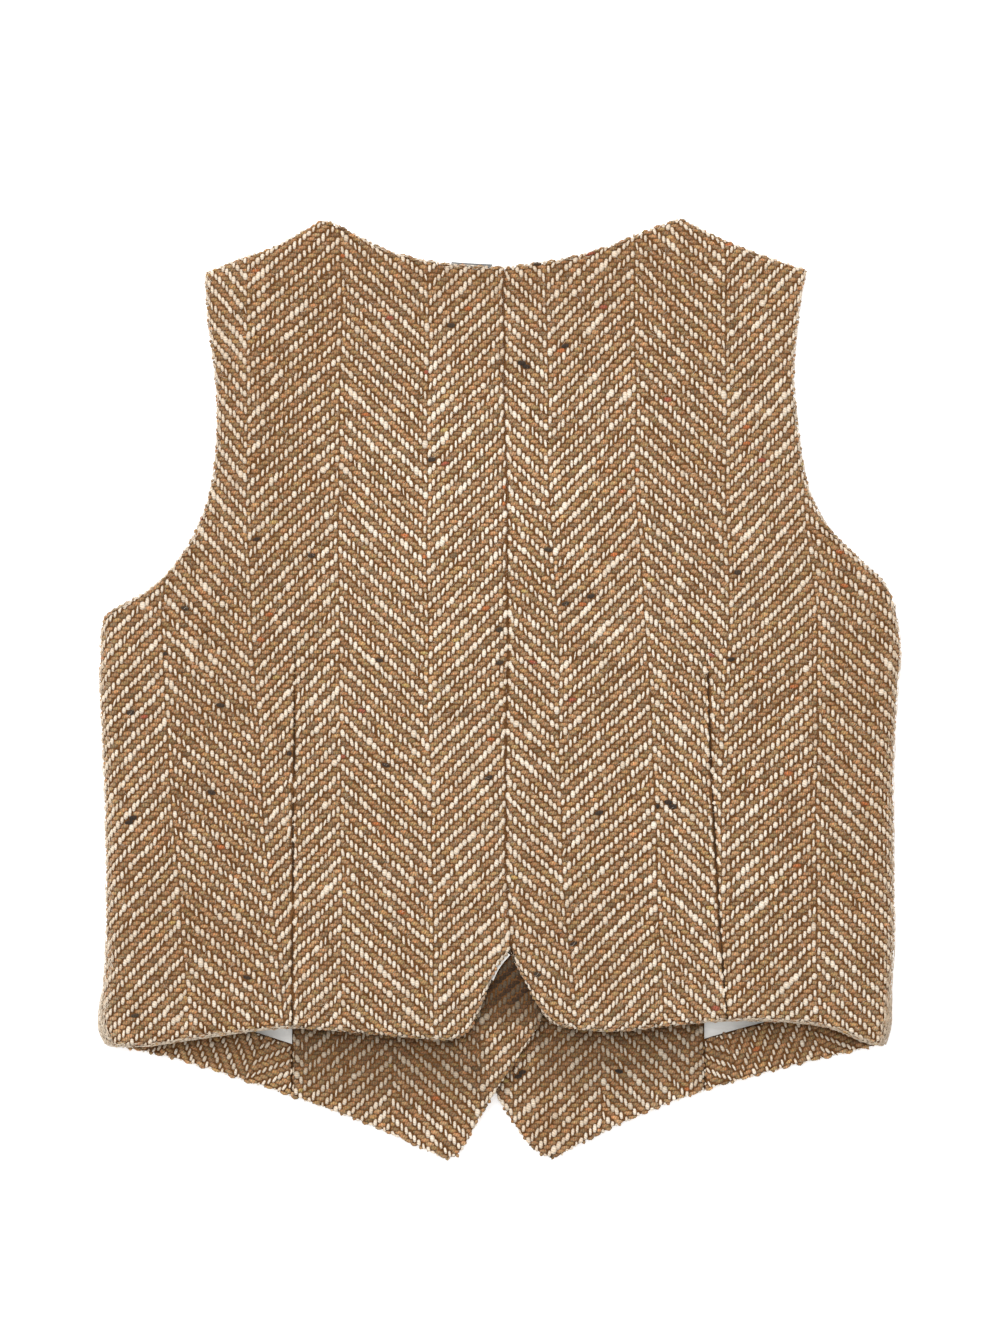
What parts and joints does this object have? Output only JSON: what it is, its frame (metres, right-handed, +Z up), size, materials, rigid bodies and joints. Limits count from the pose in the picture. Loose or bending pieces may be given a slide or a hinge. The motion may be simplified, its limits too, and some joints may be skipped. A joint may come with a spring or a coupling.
{
  "type": "suit waistcoat",
  "caption": "Cropped wool waistcoat in cream and brown herringbone tweed, lying flat with its back up, notched at the back hem, with long front points.",
  "frame": {"origin": "on the table under the middle of the garment's outline, seen from above", "axes": "+Z up from the table, +Y from the hem to the neck, +X to the wearer's right; the garment's back faces +Z"},
  "size_m": [0.4488, 0.5273, 0.0196],
  "materials": {
    "tweed": "wool herringbone tweed, matt and hairy",
    "lining": "plain satin, soft sheen",
    "button": "polished horn look"
  },
  "bodies": {
    "root": {"back_left": "tweed", "back_right": "tweed", "front_left": "tweed", "front_right": "tweed", "front_facing_left": "tweed", "front_facing_right": "tweed", "hem_facing_left": "tweed", "hem_facing_right": "tweed", "back_vent_lining": "lining", "back_neck_lining": "lining", "front_lining_left": "lining", "front_lining_right": "lining", "button_1": "button", "button_2": "button", "button_3": "button", "button_4": "button"}
  },
  "joints": []
}
